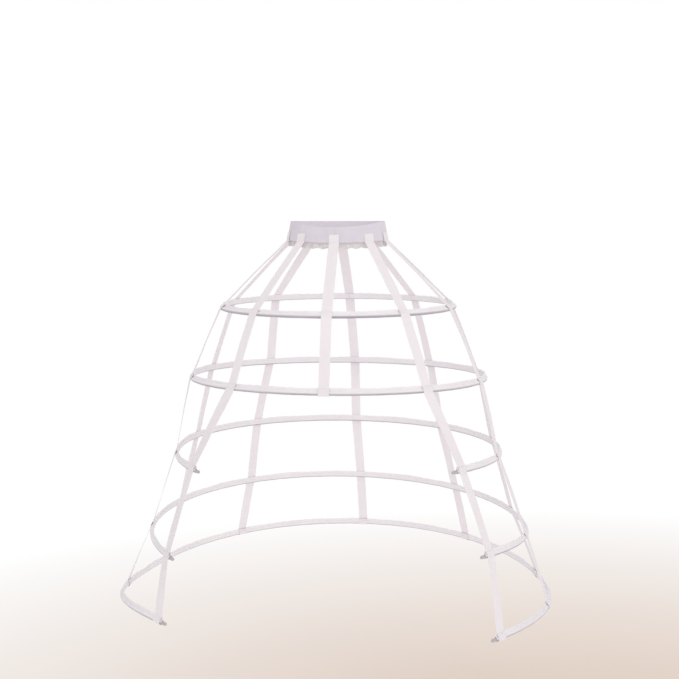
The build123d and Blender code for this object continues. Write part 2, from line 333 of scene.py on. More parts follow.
def spaced_along(points, pitch):
    """Places every pitch along a dense line, the direction there and the share of the line."""
    run = run_along(points)
    count = max(int(run[-1] / pitch), 1)
    at = (np.arange(count) + 0.5) * run[-1] / count
    place, ahead = (
        np.stack([np.interp(spots, run, points[:, k]) for k in range(3)], -1)
        for spots in (at, at + pitch / 4)
    )
    return place, unit(ahead - place), at / run[-1]


# Materials


class Shader:
    """A material and the means to write its node tree."""

    def __init__(self, name, roughness, sheen=0.0, metallic=0.0, specular=0.5):
        self.material = bpy.data.materials.new(name)
        self.material.use_nodes = True
        self.tree = self.material.node_tree
        self.nodes, self.links = self.tree.nodes, self.tree.links
        self.bsdf = self.nodes["Principled BSDF"]
        self.bsdf.inputs["Roughness"].default_value = roughness
        self.bsdf.inputs["Metallic"].default_value = metallic
        self.bsdf.inputs["Specular IOR Level"].default_value = specular
        self.bsdf.inputs["Sheen Weight"].default_value = sheen
        self.bsdf.inputs["Sheen Roughness"].default_value = 0.55
        self.coords = self.nodes.new("ShaderNodeTexCoord")
        split = self.nodes.new("ShaderNodeSeparateXYZ")
        self.links.new(self.coords.outputs["UV"], split.inputs[0])
        self.u, self.v = split.outputs[0], split.outputs[1]

    def plug(self, value, socket):
        if isinstance(value, (int, float)):
            socket.default_value = value
        else:
            self.links.new(value, socket)

    def math(self, operation, a, b=0.0, c=0.0):
        node = self.nodes.new("ShaderNodeMath")
        node.operation = operation
        for value, socket in zip((a, b, c), node.inputs):
            self.plug(value, socket)
        return node.outputs[0]

    def wave(self, value, pitch, phase=0.0):
        """Goes from 0 to 1 and back once a pitch."""
        angle = self.math("MULTIPLY_ADD", value, 2 * pi / pitch, phase)
        return self.math("MULTIPLY_ADD", self.math("SINE", angle), 0.5, 0.5)

    def noise(self, scale, detail=3.0, source="Object", stretch=None):
        node = self.nodes.new("ShaderNodeTexNoise")
        node.inputs["Scale"].default_value = scale
        node.inputs["Detail"].default_value = detail
        vector = self.coords.outputs[source]
        if stretch:
            mapping = self.nodes.new("ShaderNodeMapping")
            mapping.inputs["Scale"].default_value = stretch
            self.links.new(vector, mapping.inputs["Vector"])
            vector = mapping.outputs["Vector"]
        self.links.new(vector, node.inputs["Vector"])
        return node.outputs["Fac"]

    def ramp(self, factor, stops):
        node = self.nodes.new("ShaderNodeValToRGB")
        ramp = node.color_ramp
        while len(ramp.elements) < len(stops):
            ramp.elements.new(0.5)
        for element, (place, colour) in zip(ramp.elements, stops):
            element.position = place
            element.color = (*colour, 1.0)
        self.links.new(factor, node.inputs["Fac"])
        return node.outputs["Color"]

    def mix(self, factor, a, b):
        node = self.nodes.new("ShaderNodeMix")
        node.data_type = "RGBA"
        self.plug(factor, node.inputs[0])
        self.links.new(a, node.inputs[6])
        self.links.new(b, node.inputs[7])
        return node.outputs[2]

    def finish(self, colour, height, strength, distance, roughness=None, translucent=0.0):
        self.links.new(colour, self.bsdf.inputs["Base Color"])
        bump = self.nodes.new("ShaderNodeBump")
        bump.inputs["Strength"].default_value = strength
        bump.inputs["Distance"].default_value = distance
        self.links.new(height, bump.inputs["Height"])
        self.links.new(bump.outputs["Normal"], self.bsdf.inputs["Normal"])
        if roughness is not None:
            self.links.new(roughness, self.bsdf.inputs["Roughness"])
        if translucent:
            through = self.nodes.new("ShaderNodeBsdfTranslucent")
            self.links.new(colour, through.inputs["Color"])
            self.links.new(bump.outputs["Normal"], through.inputs["Normal"])
            mix = self.nodes.new("ShaderNodeMixShader")
            mix.inputs[0].default_value = translucent
            self.links.new(self.bsdf.outputs[0], mix.inputs[1])
            self.links.new(through.outputs[0], mix.inputs[2])
            self.links.new(mix.outputs[0], self.nodes["Material Output"].inputs["Surface"])
        return self.material


def woven_tape(name, light, dark, width, warp, weft, translucent, sheen=0.25, underside_shade=None):
    """Plain-woven tape with a denser selvedge along both edges. Painted shade can darken its
    middle, which is the underside of the channel, in place of the shade there. The last argument
    gives the painted shade's colour, the distances from the middle where it starts and ends to
    fade, and its strength."""
    s = Shader(name, 0.78, sheen=sheen, specular=0.25)
    threads = s.math("MULTIPLY", s.wave(s.u, warp), s.wave(s.v, weft))
    diagonal = s.wave(s.math("ADD", s.u, s.v), warp * 3.1)
    weave = s.math("MULTIPLY_ADD", diagonal, 0.35, threads)
    slub = s.noise(1.0, 4.0, "UV", (900.0, 70.0, 1.0))
    weave = s.math("MULTIPLY_ADD", slub, 0.6, weave)
    centre_gap = s.math("ABSOLUTE", s.math("SUBTRACT", s.u, width / 2))
    selvedge = s.math("SMOOTH_MIN", s.math("DIVIDE", centre_gap, width / 2), 1.0, 0.05)
    selvedge = s.math("POWER", selvedge, 14.0)
    height = s.math("MULTIPLY_ADD", selvedge, 0.9, weave)
    cloud = s.math("MULTIPLY_ADD", s.noise(7.0), 0.65, s.math("MULTIPLY", s.noise(48.0), 0.35))
    tone = s.math("MULTIPLY_ADD", weave, 0.16, s.math("MULTIPLY", cloud, 0.84))
    colour = s.ramp(tone, [(0.22, dark), (0.68, light)])
    # Painted shade: a dark grey-lavender line along the middle of the tape, the underside of the
    # channel, made patchy by the cloud
    if underside_shade:
        shade_colour, start, end, strength = underside_shade
        shade_fade = s.nodes.new("ShaderNodeMapRange")
        shade_fade.interpolation_type = "SMOOTHSTEP"
        limits = {"From Min": start, "From Max": end, "To Min": strength, "To Max": 0.0}
        for socket, value in limits.items():
            shade_fade.inputs[socket].default_value = value
        s.links.new(centre_gap, shade_fade.inputs["Value"])
        patchy = s.math("MULTIPLY_ADD", cloud, 0.9, 0.5)
        shown = s.math("MULTIPLY", shade_fade.outputs["Result"], patchy)
        shade_tint = s.nodes.new("ShaderNodeRGB")
        shade_tint.outputs[0].default_value = (*shade_colour, 1.0)
        colour = s.mix(shown, colour, shade_tint.outputs[0])
    rough = s.math("MULTIPLY_ADD", cloud, 0.14, 0.70)
    return s.finish(colour, height, 0.32, 0.0002, rough, translucent)


STRAP_TAPE = woven_tape(
    "strap_tape_weave", (0.93, 0.87, 0.87), (0.87, 0.805, 0.81),
    STRAP_WIDTH, 0.0011, 0.0013, 0.12,
)
CASING_TAPE = woven_tape(
    "casing_tape_weave", (0.94, 0.89, 0.895), (0.855, 0.80, 0.81),
    CASING_WIDTH, 0.0009, 0.0011, 0.08,
    # Painted shade along the underside of the channel
    underside_shade=((0.40, 0.355, 0.385), 0.0030, 0.0085, 0.95),
)


def elastic_webbing():
    """Knitted elastic: fine upright ribs crossed by rubber threads, a rolled edge."""
    s = Shader("ribbed_elastic", 0.8, sheen=0.2, specular=0.2)
    wander = s.math("MULTIPLY", s.noise(60.0, 2.0), 0.0012)
    ribs = s.wave(s.math("ADD", s.u, wander), 0.0024)
    knit = s.math("MULTIPLY", s.wave(s.u, 0.0008), s.wave(s.v, 0.0012))
    rubber = s.wave(s.v, 0.0038)
    height = s.math("MULTIPLY_ADD", ribs, 0.9, s.math("MULTIPLY", knit, 0.4))
    height = s.math("MULTIPLY_ADD", rubber, 0.25, height)
    cloud = s.math("MULTIPLY_ADD", s.noise(11.0), 0.6, s.math("MULTIPLY", s.noise(70.0), 0.4))
    tone = s.math("MULTIPLY_ADD", ribs, 0.30, s.math("MULTIPLY", cloud, 0.7))
    colour = s.ramp(tone, [(0.18, (0.67, 0.61, 0.655)), (0.75, (0.80, 0.74, 0.785))])
    rough = s.math("MULTIPLY_ADD", cloud, 0.12, 0.74)
    return s.finish(colour, height, 0.6, 0.0004, rough, 0.05)


def lace_cotton():
    """Corded cotton lace: a net ground with raised, denser threads round the eyelets."""
    s = Shader("cotton_lace", 0.82, sheen=0.3, specular=0.2)
    threads = [s.wave(s.math(way, s.u, s.v), 0.0011) for way in ("ADD", "SUBTRACT")]
    net = s.math("MULTIPLY", *threads)
    cord = s.wave(s.v, 0.0031)
    height = s.math("MULTIPLY_ADD", cord, 0.5, net)
    cloud = s.noise(90.0)
    tone = s.math("MULTIPLY_ADD", net, 0.5, s.math("MULTIPLY", cloud, 0.5))
    colour = s.ramp(tone, [(0.15, (0.80, 0.74, 0.73)), (0.7, (0.92, 0.87, 0.86))])
    return s.finish(colour, height, 0.7, 0.0003, None, 0.2)


def sewing_thread():
    """Two-ply polyester thread."""
    s = Shader("sewing_thread", 0.5, sheen=0.2, specular=0.4)
    twist = s.wave(s.math("ADD", s.u, s.math("MULTIPLY", s.v, 1.6)), 0.0006)
    tone = s.math("MULTIPLY_ADD", twist, 0.5, s.math("MULTIPLY", s.noise(30.0), 0.5))
    colour = s.ramp(tone, [(0.2, (0.70, 0.66, 0.69)), (0.8, (0.88, 0.85, 0.87))])
    return s.finish(colour, twist, 0.4, 0.0001)


def drawn_plastic(name, light, dark, streaks):
    """Satin plastic with faint streaks along it and small scuffs."""
    s = Shader(name, 0.42, specular=0.45)
    streak = s.noise(1.0, 4.0, "UV", streaks)
    scuff = s.noise(240.0, 5.0)
    tone = s.math("MULTIPLY_ADD", streak, 0.6, s.math("MULTIPLY", scuff, 0.4))
    colour = s.ramp(tone, [(0.25, dark), (0.75, light)])
    rough = s.math("MULTIPLY_ADD", scuff, 0.25, 0.30)
    return s.finish(colour, tone, 0.25, 0.0001, rough)


def plated_brass():
    """Nickel-plated brass sleeve, brushed round its length, with duller patches."""
    s = Shader("plated_brass", 0.3, metallic=1.0)
    brushed = s.noise(1.0, 5.0, "Object", (40.0, 1400.0, 1400.0))
    worn = s.noise(180.0, 4.0)
    tone = s.math("MULTIPLY_ADD", brushed, 0.5, s.math("MULTIPLY", worn, 0.5))
    colour = s.ramp(tone, [(0.25, (0.52, 0.47, 0.38)), (0.7, (0.78, 0.76, 0.71))])
    rough = s.math("MULTIPLY_ADD", tone, 0.35, 0.18)
    return s.finish(colour, brushed, 0.3, 0.00005, rough)


ELASTIC = elastic_webbing()
LACE = lace_cotton()
THREAD = sewing_thread()
RODS = drawn_plastic(
    "boning_plastic", (0.80, 0.79, 0.77), (0.68, 0.67, 0.66), (900.0, 6.0, 1.0)
)
# The caps' grey is their own plastic, darkened further as painted shade for the shaded ends of the
# casings
CAPS = drawn_plastic(
    "moulded_cap", (0.55, 0.50, 0.50), (0.42, 0.385, 0.385), (300.0, 300.0, 1.0)
)
BRASS = plated_brass()


# Casings: a tape folded round the boning, its layers sewn together above it


def casing_section():
    """Middle line of the folded tape in a section, from one flange edge round to the
    other, with its outward normals and the length along it."""
    beside = FLANGE_THICKNESS / 2 - TAPE_WALL / 2
    radius = CHANNEL_RADIUS - TAPE_SLACK - TAPE_WALL / 2
    angles = np.radians([64, 48, 30, 12, -8, -28, -48, -69, -90])
    side = [(beside, y) for y in (FLANGE_TOP, 0.0114, 0.0102, 0.0088, 0.0074, 0.0064)]
    side += [(0.0010, 0.0054), (0.00155, 0.00465)]
    side += [(radius * cos(a), radius * sin(a)) for a in angles]
    line = np.array([(-x, y) for x, y in side[:-1]] + side[::-1])
    ahead = np.gradient(line, axis=0)
    normal = -unit(np.stack([-ahead[:, 1], ahead[:, 0]], -1))
    normal[0], normal[-1] = (-1, 0), (1, 0)
    return line, normal, run_along(line)


def near_strap(name, azimuths, reach):
    """1 beside a strap and 0 away from it."""
    gap = np.abs(azimuths[:, None] - np.array(strap_azimuths(name))).min(1)
    gap = np.radians(gap) * HOOPS[name]["radius"]
    return smooth_step((STRAP_WIDTH / 2 + reach - gap) / reach)


def flange_share(height):
    """0 at the foot of the flange and 1 at its free edge."""
    return smooth_step((height - FLANGE_ROOT) / (FLANGE_TOP - FLANGE_ROOT))


def flange_waves(seed, name, run, azimuths):
    """How far the flange's free edge stands out of line, and how far it rises."""
    free = 0.9 * (1 - near_strap(name, azimuths, 0.010))
    out = ripple(
        run, (0.0004, 0.0031, seed), (0.0005, 0.0058, 2.1 * seed), (0.0009, 0.019, 0.7 * seed)
    )
    rise = ripple(run, (0.0003, 0.0037, 1.3 * seed), (0.0007, 0.028, seed))
    return out * free, rise * free


def build_casing(name, seed):
    first, last = hoop_span(name)
    radius = HOOPS[name]["radius"]
    length = radians(last - first) * radius
    azimuths = np.linspace(first, last, int(length / CASING_STEP) + 1)
    run = np.radians(azimuths - first) * radius
    line, normal, width = casing_section()
    out, rise = flange_waves(seed, name, run, azimuths)
    share = flange_share(line[:, 1])
    swell = ripple(run, (0.00012, 0.011, seed), (0.00010, 0.0052, 3 * seed))
    low = 1 - smooth_step((line[:, 1] + 0.001) / 0.006)
    x = line[:, 0] + out[:, None] * share + normal[:, 0] * swell[:, None] * low
    y = line[:, 1] + rise[:, None] * share + normal[:, 1] * swell[:, None] * low
    grid = np.repeat(azimuths[:, None], len(line), 1)
    x_dir, y_dir = hoop_axes(name, grid)
    facing = x_dir * normal[:, 0:1] + y_dir * normal[:, 1:2]
    uv = np.stack(np.broadcast_arrays(width[None, :], run[:, None]), -1)
    piece = thick_sheet(
        f"casing_tape_{name}", on_hoop(name, grid, x, y), facing, TAPE_WALL / 2, uv,
        CASING_TAPE, (f"casing_{name}",),
    )
    seams = []
    seam_out = out * float(flange_share(CASING_SEAM))
    for side in (1, -1):
        beside = side * FLANGE_THICKNESS / 2 + seam_out
        dense = on_hoop(name, azimuths, beside, np.full(len(azimuths), CASING_SEAM))
        place, ahead, at = spaced_along(dense, CASING_PITCH)
        away = hoop_axes(name, first + (last - first) * at)[0] * side
        seams.append((place, ahead, away))
    thread = stitches(f"seam_stitches_{name}", seams)


def sweep(label, points, x_dirs, y_dirs, radii, sides, material, replaces):
    """A round rod through points, with its ends closed."""
    angles = np.arange(sides) * 2 * pi / sides
    radii = np.broadcast_to(radii, (len(points),))[:, None, None]
    rings = points[:, None] + radii * (
        x_dirs[:, None] * np.cos(angles)[:, None] + y_dirs[:, None] * np.sin(angles)[:, None]
    )
    around = np.linspace(0, 2 * pi * float(radii.max()), sides + 1)
    uv = np.stack(np.broadcast_arrays(around[None, :], run_along(points)[:, None]), -1)
    return tube(label, rings, uv, material, replaces)


def build_rod(name):
    first, last = hoop_span(name)
    if name in CLOSED:
        half_gap = degrees_along(name, JOINT_GAP / 2)
        first, last = BACK_AZIMUTH[name] + half_gap, BACK_AZIMUTH[name] + 360.0 - half_gap
    length = radians(last - first) * HOOPS[name]["radius"]
    azimuths = np.linspace(first, last, int(length / ROD_STEP))
    points = hoop_centre(name, azimuths)
    if name not in CLOSED:
        tip = degrees_along(name, CAP_LENGTH)
        reach = (CAP_DEPTH - 0.0001) / CAP_LENGTH
        ends = []
        for end, away in ((first, first - tip), (last, last + tip)):
            start = hoop_centre(name, end)
            ends.append(start + (hoop_centre(name, away) - start) * reach)
        points = np.concatenate([ends[0][None], points, ends[1][None]])
        azimuths = np.concatenate([[first], azimuths, [last]])
    x_dirs, y_dirs = hoop_axes(name, azimuths)
    sweep(
        f"boning_rod_{name}", points, x_dirs, y_dirs, BONING_RADIUS, 14,
        RODS, (f"boning_{name}",),
    )


# Distance from the casing and radius, with a shallow groove round the cap
CAP_PROFILE = np.array([
    (0.0003, 0.0036), (0.0004, 0.0041), (0.0009, CAP_RADIUS), (0.0040, CAP_RADIUS),
    (0.0046, 0.00405), (0.0052, CAP_RADIUS - 0.0001), (0.0110, 0.0040), (0.0126, 0.0037),
    (0.0138, 0.0031), (0.0146, 0.0021), (0.0150, 0.0009),
])


def build_cap(name, side):
    first, last = hoop_span(name)
    tip = degrees_along(name, CAP_LENGTH)
    end, away = (first, first - tip) if side == "left" else (last, last + tip)
    start, finish = hoop_centre(name, end), hoop_centre(name, away)
    axis = unit(finish - start)
    points = start + axis * CAP_PROFILE[:, :1]
    x_dir, _ = hoop_axes(name, np.array([end]))
    x_dirs = np.repeat(unit(x_dir - axis * (x_dir @ axis)[:, None]), len(points), 0)
    y_dirs = np.cross(np.broadcast_to(axis, x_dirs.shape), x_dirs)
    if side == "right":
        y_dirs = -y_dirs
    sweep(
        f"rod_cap_{name}_{side}", points, x_dirs, y_dirs, CAP_PROFILE[:, 1], 24,
        CAPS, (f"end_cap_{name}_{side}",),
    )


for index, hoop_name in enumerate(HOOPS):
    build_rod(hoop_name)
    build_casing(hoop_name, 1.7 * index + 0.4)
    if hoop_name not in CLOSED:
        build_cap(hoop_name, "left")
        build_cap(hoop_name, "right")
for hoop_name in CLOSED:
    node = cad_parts[f"joiner_{hoop_name}"]
    node.data.materials.clear()
    node.data.materials.append(BRASS)


# Waistband


BAND_LINES = np.array(
    [0, 0.012, 0.05, 0.12, 0.22, 0.33, 0.44, 0.55, 0.66, 0.77, 0.87, 0.94, 0.985, 1.0]
)


def build_band():
    lap_angle = np.degrees(BAND_LAP / (WAIST_WIDTH / 2))
    azimuths = np.linspace(-lap_angle, 360.0, BAND_COLUMNS)
    run = run_along(on_band(azimuths, np.zeros(BAND_COLUMNS), np.zeros(BAND_COLUMNS)))
    left = run[-1] - run
    high, low = band_edges(azimuths)
    height = high[:, None] + (low - high)[:, None] * BAND_LINES
    lapped = LAP_STEP * smooth_step(1 - left / LAP_RUN)
    calm = smooth_step(np.minimum(run, left) / 0.012) * 0.8 + 0.2
    rib = 0.00010 * np.sin(run / 0.0024 * 2 * pi + 0.9 * np.sin(run / 0.013))
    drape = ripple(run, (0.00020, 0.0061, 1.0), (0.00014, 0.0034, 2.0))
    relief = (rib[:, None] + drape[:, None] * BAND_LINES**2) * calm[:, None]
    grid = np.repeat(azimuths[:, None], len(BAND_LINES), 1)
    centre = on_band(grid, band_slope(height) + lapped[:, None] + relief, height)
    across = unit(np.gradient(centre, axis=1))
    ahead = unit(np.gradient(centre, axis=0))
    normal = unit(np.cross(ahead, -across))
    if (normal[0, 0] @ outward(azimuths[0])) < 0:
        normal = -normal
    rounded = 1 - 0.35 * (np.exp(-BAND_LINES / 0.02) + np.exp(-(1 - BAND_LINES) / 0.02))
    uv = np.stack(np.broadcast_arrays(run[:, None], -height), -1)
    band = thick_sheet(
        "elastic_waistband", centre, normal, BAND_THICKNESS / 2 * rounded, uv,
        ELASTIC, ("waistband",),
    )

    rows = []
    for level in (low + 0.0022, low + 0.0052, high - 0.0030):
        dense = on_band(azimuths, band_slope(level) + lapped + BAND_THICKNESS / 2, level)
        place, ahead, at = spaced_along(dense, BAND_PITCH)
        rows.append((place, ahead, outward(azimuths[0] + (azimuths[-1] - azimuths[0]) * at)))
    for back in (0.0016, 0.0062):
        spot = np.interp(run[-1] - back, run, azimuths)
        top, bottom = band_edges(spot)
        levels = np.linspace(float(top) - 0.002, float(bottom) + 0.002, 40)
        out = LAP_STEP * float(smooth_step(1 - back / LAP_RUN)) + BAND_THICKNESS / 2
        dense = on_band(np.full(len(levels), spot), band_slope(levels) + out, levels)
        place, ahead, _ = spaced_along(dense, LAP_PITCH)
        rows.append((place, ahead, np.repeat(outward(np.array([spot])), len(place), 0)))
    thread = stitches("waistband_stitches", rows, 0.0020, 0.00026)


build_band()


# Lace edge: a strip of cells, some with an eyelet. The eyelets' sizes go by row, for the
# even and the odd cells.

EYELETS = {3: (0.36, 0.18), 4: (0.17, 0.17), 5: (0.18, 0.36), 6: (0.17, 0.17)}


def lace_surface(s, t):
    """s goes round from 0 to 1, t goes from the sewn edge, 0, to the hem, 1."""
    azimuth = LACE_OPENING / 2 + (360.0 - LACE_OPENING) * s
    phase = 2 * pi * LACE_WAVES * s
    low = band_edges(azimuth)[1]
    scallop = LACE_SCALLOP * (0.5 + 0.5 * np.cos(phase)) * smooth_step((t - 0.6) / 0.4)
    hem = low - LACE_SHOW - scallop
    height = (low + LACE_HIDDEN) * (1 - t) + hem * t
    swing = smooth_step((t - 0.15) / 0.6)
    fold = np.sin(phase) * 0.78 + 0.22 * np.sin(phase * 1.73 + 1.0)
    wave = LACE_WAVE_DEPTH * (fold * (0.25 + 0.75 * swing) - 1)
    gather = wave - BAND_THICKNESS / 2 - LACE_GAP - 0.0004
    return on_band(azimuth, band_slope(np.maximum(height, low)) + gather, height)


def lace_mesh():
    """The s and t of the points of the lace, and its faces."""
    cells = LACE_WAVES * LACE_CELLS_A_WAVE
    across = 2 * LACE_ROWS + 1
    grid = np.meshgrid(np.linspace(0, 1, 2 * cells + 1), np.linspace(0, 1, across), indexing="ij")
    s_parts, t_parts = [grid[0].ravel()], [grid[1].ravel()]
    around = ((0, 0), (1, 0), (2, 0), (2, 1), (2, 2), (1, 2), (0, 2), (0, 1))
    angles = np.radians([-135, -90, -45, 0, 45, 90, 135, 180])
    count = grid[0].size
    faces = []
    for cell in range(cells):
        for row in range(LACE_ROWS):
            i, j = 2 * cell, 2 * row
            rim = [(i + di) * across + j + dj for di, dj in around]
            hole = EYELETS.get(row, (0, 0))[cell % 2]
            if not hole:
                middle = (i + 1) * across + j + 1
                faces += [[rim[k], rim[k + 1], middle, rim[k - 1]] for k in (0, 2, 4, 6)]
                continue
            s_parts.append((i + 1 + 2 * hole * np.cos(angles)) / (2 * cells))
            t_parts.append((j + 1 + 2 * hole * np.sin(angles)) / (2 * LACE_ROWS))
            for k in range(8):
                n = (k + 1) % 8
                faces.append([rim[k], rim[n], count + n, count + k])
            count += 8
    s, t = np.concatenate(s_parts), np.concatenate(t_parts)
    used = np.zeros(len(s), bool)
    used[np.unique(np.array(faces))] = True
    new_index = np.cumsum(used) - 1
    return s[used], t[used], new_index[np.array(faces)].tolist()


def build_lace():
    s, t, faces = lace_mesh()
    length = float(run_along(lace_surface(np.linspace(0, 1, 4000), np.full(4000, 0.6)))[-1])
    width = float(run_along(lace_surface(np.full(50, 0.3), np.linspace(0, 1, 50)))[-1])
    uvs = np.stack([s * length, t * width], -1)[np.array(faces)].reshape(-1, 2)
    lace = make_object(
        "gathered_lace", lace_surface(s, t), faces, uvs, LACE, ("lace_edge",)
    )
    solid = lace.modifiers.new("thickness", "SOLIDIFY")
    solid.thickness = LACE_THICKNESS
    solid.offset = 0.0


build_lace()


# Straps


def section_points(name, azimuth, flat, sloped=False):
    flat = np.array(flat)
    return on_hoop(name, np.full(len(flat), azimuth), flat[:, 0], flat[:, 1], sloped)


def strap_line(strap, sign):
    """Middle line of a strap and the directions across it, as one run on the band and one
    on each hoop. Also the heights where the run on the band starts and ends, and the hoops
    that it is sewn to, with its azimuths."""
    azimuth = BAND_AZIMUTH[strap] * sign
    low = float(band_edges(azimuth)[1])
    over_lap = LAP_STEP if strap == "centre_front" else 0.0
    heights = np.linspace(low + STRAP_SEAM, low - STRAP_OFFSET, 7)
    outs = band_slope(heights) + BAND_THICKNESS / 2 + over_lap + STRAP_OFFSET
    direct = unit(outward(azimuth) / np.array([WAIST_WIDTH, WAIST_DEPTH, 1.0]))
    points = [on_band(np.full(len(heights), azimuth), outs, heights)]
    across = [np.repeat(np.cross(direct, UP)[None], len(heights), 0)]
    last = "hoop_2" if strap == "centre_front" else "hoop_5"
    names = list(HOOPS)
    sewn = [(name, strap_azimuth(name, strap, sign)) for name in names[: names.index(last) + 1]]
    radius = CHANNEL_RADIUS + STRAP_OFFSET + 0.0002
    for name, turn in sewn:
        end_angle = TAIL_ANGLE if name == last else LEAVE_ANGLE
        steps = int((MEET_ANGLE - end_angle) / 9) + 1
        angles = np.radians(np.linspace(MEET_ANGLE, end_angle, steps))
        flat = [(STRAP_BESIDE, FLANGE_TOP), (STRAP_BESIDE + 0.0004, FLANGE_TOP - 0.0018)]
        flat += [(radius * cos(a), radius * sin(a)) for a in angles]
        side = along(turn)
        if name == last:
            tail = (0.0082, 0.0100, FLANGE_TOP - 0.0006)
            flat = [(x - TAIL_GAP if x < 0 else x, y) for x, y in flat]
            flat += [(-STRAP_BESIDE - TAIL_GAP, y) for y in tail]
            side = hoop_run(name, turn)
        points.append(section_points(name, turn, flat, name == last))
        across.append(np.repeat(side[None], len(flat), 0))
    return points, across, (heights[0], heights[-1]), sewn


def fine_line(points, across, seed):
    """Joins the runs of a strap, gives the free runs a little slack and rounds the bends."""
    line, sides = [points[0]], [across[0]]
    for k in range(1, len(points)):
        start, end = points[k - 1][-1], points[k][0]
        length = np.linalg.norm(end - start)
        steps = max(int(length / STRAP_STEP), 2)
        share = (np.arange(1, steps) / steps)[:, None]
        turning = (across[k][0] - across[k - 1][-1]) * smooth_step(share)
        side = unit(across[k - 1][-1] + turning)
        normal = np.cross(side, unit(end - start))
        bow = 0.0011 * np.sin(pi * share) ** 2
        bow += 0.0004 * np.sin(2 * pi * share + seed + k) * np.sin(pi * share)
        twist = 0.05 * np.sin(pi * share) * np.sin(seed * 2.3 + k)
        line += [start + (end - start) * share + normal * bow * min(length / 0.2, 1.0), points[k]]
        sides += [unit(side + normal * twist), across[k]]
    line, sides = np.concatenate(line), np.concatenate(sides)
    keep = np.concatenate([[True], np.linalg.norm(np.diff(line, axis=0), axis=1) > 1e-5])
    line, sides = line[keep], sides[keep]
    for _ in range(2):
        middle = line.copy()
        middle[1:-1] = (line[:-2] + 2 * line[1:-1] + line[2:]) / 4
        step = np.linalg.norm(np.diff(line, axis=0), axis=1)
        short = np.concatenate([[False], (step[1:] < 0.003) & (step[:-1] < 0.003), [False]])
        line = np.where(short[:, None], middle, line)
    return line, sides


# Lines along a strap, as shares of its half width, and its thickness at each of them
STRAP_LINES = np.array([-1.0, -0.97, -0.86, -0.6, -0.3, 0.0, 0.3, 0.6, 0.86, 0.97, 1.0])
STRAP_EDGE = np.array([0.7, 0.95, 1.0, 0.9, 0.88, 0.88, 0.88, 0.9, 1.0, 0.95, 0.7])
STRAP_FACE = STRAP_THICKNESS / 2 * 0.9


def strap_seams(line, sides, facing, band_heights, sewn):
    """Rows of stitches: two across and two along the strap on the band, two on each hoop."""
    steps = np.linspace(-0.5, 0.5, STITCHES_ACROSS) * (STRAP_WIDTH - STITCH_MARGIN)
    levels = (band_heights[0] - STITCH_INSET, band_heights[1] + 0.0035)
    spots = [int(np.abs(line[:12, 2] - level).argmin()) for level in levels]
    for name, turn in sewn:
        for level in (FLANGE_TOP - 0.0014, 0.0076):
            target = section_points(name, turn, [(STRAP_BESIDE + 0.0006, level)])[0]
            spots.append(int(np.linalg.norm(line - target, axis=1).argmin()))
    rows = []
    for spot in spots:
        place = line[spot] + sides[spot] * steps[:, None] + facing[spot] * STRAP_FACE
        rows.append((place, *(np.repeat(v[spot][None], len(steps), 0) for v in (sides, facing))))
    on_band_rows = np.arange(1, 6)
    lines = []
    for edge in (-1, 1):
        inset = edge * (STRAP_WIDTH / 2 - STITCH_INSET)
        dense = line[on_band_rows] + sides[on_band_rows] * inset
        dense = dense + facing[on_band_rows] * STRAP_FACE
        place, direction, _ = spaced_along(dense, STRAP_PITCH)
        lines.append((place, direction, np.repeat(facing[2][None], len(place), 0)))
    return rows[:2] + lines + rows[2:]


def build_strap(label, strap, sign, seed):
    points, across, band_heights, sewn = strap_line(strap, sign)
    line, sides = fine_line(points, across, seed)
    ahead = unit(np.gradient(line, axis=0))
    sides = unit(sides - ahead * (sides * ahead).sum(1, keepdims=True))
    normal = np.cross(sides, ahead)
    run = run_along(line)
    half_width = STRAP_WIDTH / 2 + ripple(run, (0.00015, 0.009, seed), (0.0001, 0.0037, seed))
    centre = line[:, None] + sides[:, None] * (half_width[:, None] * STRAP_LINES)[..., None]
    uv_across = (STRAP_LINES[None, :] + 1) * STRAP_WIDTH / 2
    piece = thick_sheet(
        f"strap_tape_{label}", centre, np.repeat(normal[:, None], len(STRAP_LINES), 1),
        STRAP_THICKNESS / 2 * STRAP_EDGE,
        np.stack(np.broadcast_arrays(uv_across, run[:, None]), -1),
        STRAP_TAPE, (f"strap_{label}",),
    )
    away = unit(line.mean(0) * np.array([1, 1, 0]))
    facing = normal if normal[2] @ away > 0 else -normal
    seams = strap_seams(line, sides, facing, band_heights, sewn)
    thread = stitches(f"strap_stitches_{label}", seams, 0.0024)


strap_pieces = []
for strap_name in STRAPS:
    if strap_name.startswith("centre"):
        strap_pieces.append((strap_name, strap_name, 1))
    else:
        strap_pieces.append((f"{strap_name}_left", strap_name, 1))
        strap_pieces.append((f"{strap_name}_right", strap_name, -1))
for index, (strap_label, strap_name, strap_sign) in enumerate(strap_pieces):
    build_strap(strap_label, strap_name, strap_sign, 0.9 * index + 0.3)


# Stage: a pale floor that brightens into a white room, and soft lights

FLOOR_LEVEL, FLOOR_REACH = -1.29, 60.0
FLOOR_COLOUR, FLOOR_DARKEST = (0.80, 0.635, 0.52, 1), (0.75, -0.5, 0.0)
FADE_START, FADE_END = 0.4, 2.85
LIGHT_FROM_BELOW, LIGHT_FROM_ROOM = 0.98, 0.80
FRONT_LIGHT, FRONT_SPREAD, FRONT_DIRECTION = 1.3, 60, (-0.12, 1.0, 0.2)
SOFT_LIGHTS = (
    ("key", (1.9, -2.6, 2.3), 1.8, 18.0, (1.0, 0.985, 0.97)),
    ("top", (0.2, 0.5, 3.2), 2.4, 10.0, (1.0, 1.0, 1.0)),
)


def coloured(nodes, kind, colour, strength):
    """Output of an even light source in a node tree."""
    node = nodes.new(kind)
    node.inputs["Color"].default_value = colour
    node.inputs["Strength"].default_value = strength
    return node.outputs[0]


def mixed(tree, factor, first, second):
    node = tree.nodes.new("ShaderNodeMixShader")
    for socket, output in zip(node.inputs, (factor, first, second)):
        tree.links.new(output, socket)
    return node.outputs[0]


def camera_ray(tree):
    return tree.nodes.new("ShaderNodeLightPath").outputs["Is Camera Ray"]


